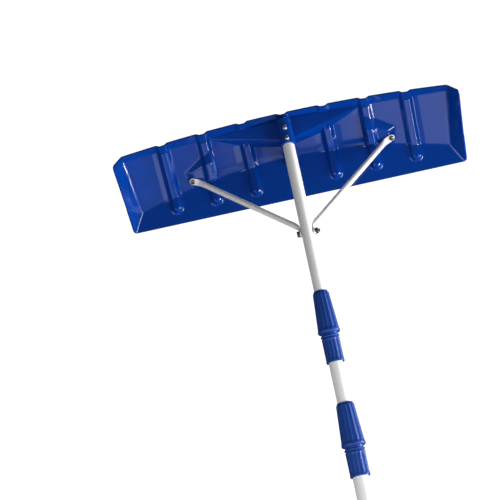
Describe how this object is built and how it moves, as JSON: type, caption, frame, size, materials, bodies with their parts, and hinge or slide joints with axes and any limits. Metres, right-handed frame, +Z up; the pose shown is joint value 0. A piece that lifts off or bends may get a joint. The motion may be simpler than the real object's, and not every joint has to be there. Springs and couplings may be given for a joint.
{
  "type": "telescoping roof snow rake",
  "caption": "Telescoping roof snow rake: wide ribbed blue scoop blade, angled braces, nested light poles with twist-lock clamps, black rubber grip.",
  "frame": {"origin": "centre of the grip's flat butt, on the pole's axis", "axes": "+Z runs up the pole to the blade, +X is to the right of a user who looks along +Y at the hollow side of the blade, and the scraping edge is on the +Y side"},
  "size_m": [0.6208, 0.1162, 2.1727],
  "materials": {
    "blade_plastic": "glossy cobalt blue moulded plastic",
    "clamp_plastic": "satin blue moulded plastic",
    "white_metal": "satin off-white coating on aluminium tube",
    "bright_steel": "zinc-plated",
    "dark_steel": "dark zinc",
    "inner_plastic": "plain moulded plastic",
    "grip_rubber": "matt black rubber"
  },
  "bodies": {
    "handle": {"tube_4": "white_metal", "grip": "grip_rubber", "end_plug": "inner_plastic", "clamp_body_3": "clamp_plastic"},
    "collet_3": {"clamp_collet_3": "inner_plastic"},
    "nut_3": {"clamp_nut_3": "clamp_plastic"},
    "bush_3": {"guide_3": "inner_plastic"},
    "section_3": {"tube_3": "white_metal", "clamp_body_2": "clamp_plastic"},
    "collet_2": {"clamp_collet_2": "inner_plastic"},
    "nut_2": {"clamp_nut_2": "clamp_plastic"},
    "bush_2": {"guide_2": "inner_plastic"},
    "section_2": {"tube_2": "white_metal", "clamp_body_1": "clamp_plastic"},
    "collet_1": {"clamp_collet_1": "inner_plastic"},
    "nut_1": {"clamp_nut_1": "clamp_plastic"},
    "bush_1": {"guide_1": "inner_plastic"},
    "head": {"tube_1": "white_metal", "blade": "blade_plastic", "brace_left": "white_metal", "brace_right": "white_metal", "brace_bolts": "bright_steel", "brace_washers": "bright_steel", "brace_nuts": "bright_steel", "pole_bolt": "dark_steel", "pole_nut": "dark_steel", "pole_washers": "bright_steel", "socket_screws": "bright_steel"}
  },
  "joints": [
    {"name": "extend_3", "type": "slide", "parent": "handle", "child": "bush_3", "axis": [0, 0, 1], "range_m": [-0.055, 1.18]},
    {"name": "turn_3", "type": "hinge", "parent": "bush_3", "child": "section_3", "pos_m": [0, 0, 0.09], "axis": [0, 0, 1], "continuous": true},
    {"name": "nut_rise_3", "type": "slide", "parent": "handle", "child": "collet_3", "axis": [0, 0, 1], "range_m": [0, 0.003]},
    {"name": "unscrew_3", "type": "hinge", "parent": "collet_3", "child": "nut_3", "pos_m": [0, 0, 1.379], "axis": [0, 0, 1], "range_deg": [0, 270.1]},
    {"name": "extend_2", "type": "slide", "parent": "section_3", "child": "bush_2", "axis": [0, 0, 1], "range_m": [-0.055, 1.18]},
    {"name": "turn_2", "type": "hinge", "parent": "bush_2", "child": "section_2", "pos_m": [0, 0, 0.278], "axis": [0, 0, 1], "continuous": true},
    {"name": "nut_rise_2", "type": "slide", "parent": "section_3", "child": "collet_2", "axis": [0, 0, 1], "range_m": [0, 0.003]},
    {"name": "unscrew_2", "type": "hinge", "parent": "collet_2", "child": "nut_2", "pos_m": [0, 0, 1.567], "axis": [0, 0, 1], "range_deg": [0, 270.1]},
    {"name": "extend_1", "type": "slide", "parent": "section_2", "child": "bush_1", "axis": [0, 0, 1], "range_m": [-0.055, 1.18]},
    {"name": "turn_1", "type": "hinge", "parent": "bush_1", "child": "head", "pos_m": [0, 0, 0.476], "axis": [0, 0, 1], "continuous": true},
    {"name": "nut_rise_1", "type": "slide", "parent": "section_2", "child": "collet_1", "axis": [0, 0, 1], "range_m": [0, 0.003]},
    {"name": "unscrew_1", "type": "hinge", "parent": "collet_1", "child": "nut_1", "pos_m": [0, 0, 1.765], "axis": [0, 0, 1], "range_deg": [0, 270.1]}
  ],
  "couplings": [
    {"joint": "unscrew_3", "follows": "nut_rise_3", "rad_per_m": 1570.8},
    {"joint": "unscrew_2", "follows": "nut_rise_2", "rad_per_m": 1570.8},
    {"joint": "unscrew_1", "follows": "nut_rise_1", "rad_per_m": 1570.8}
  ]
}
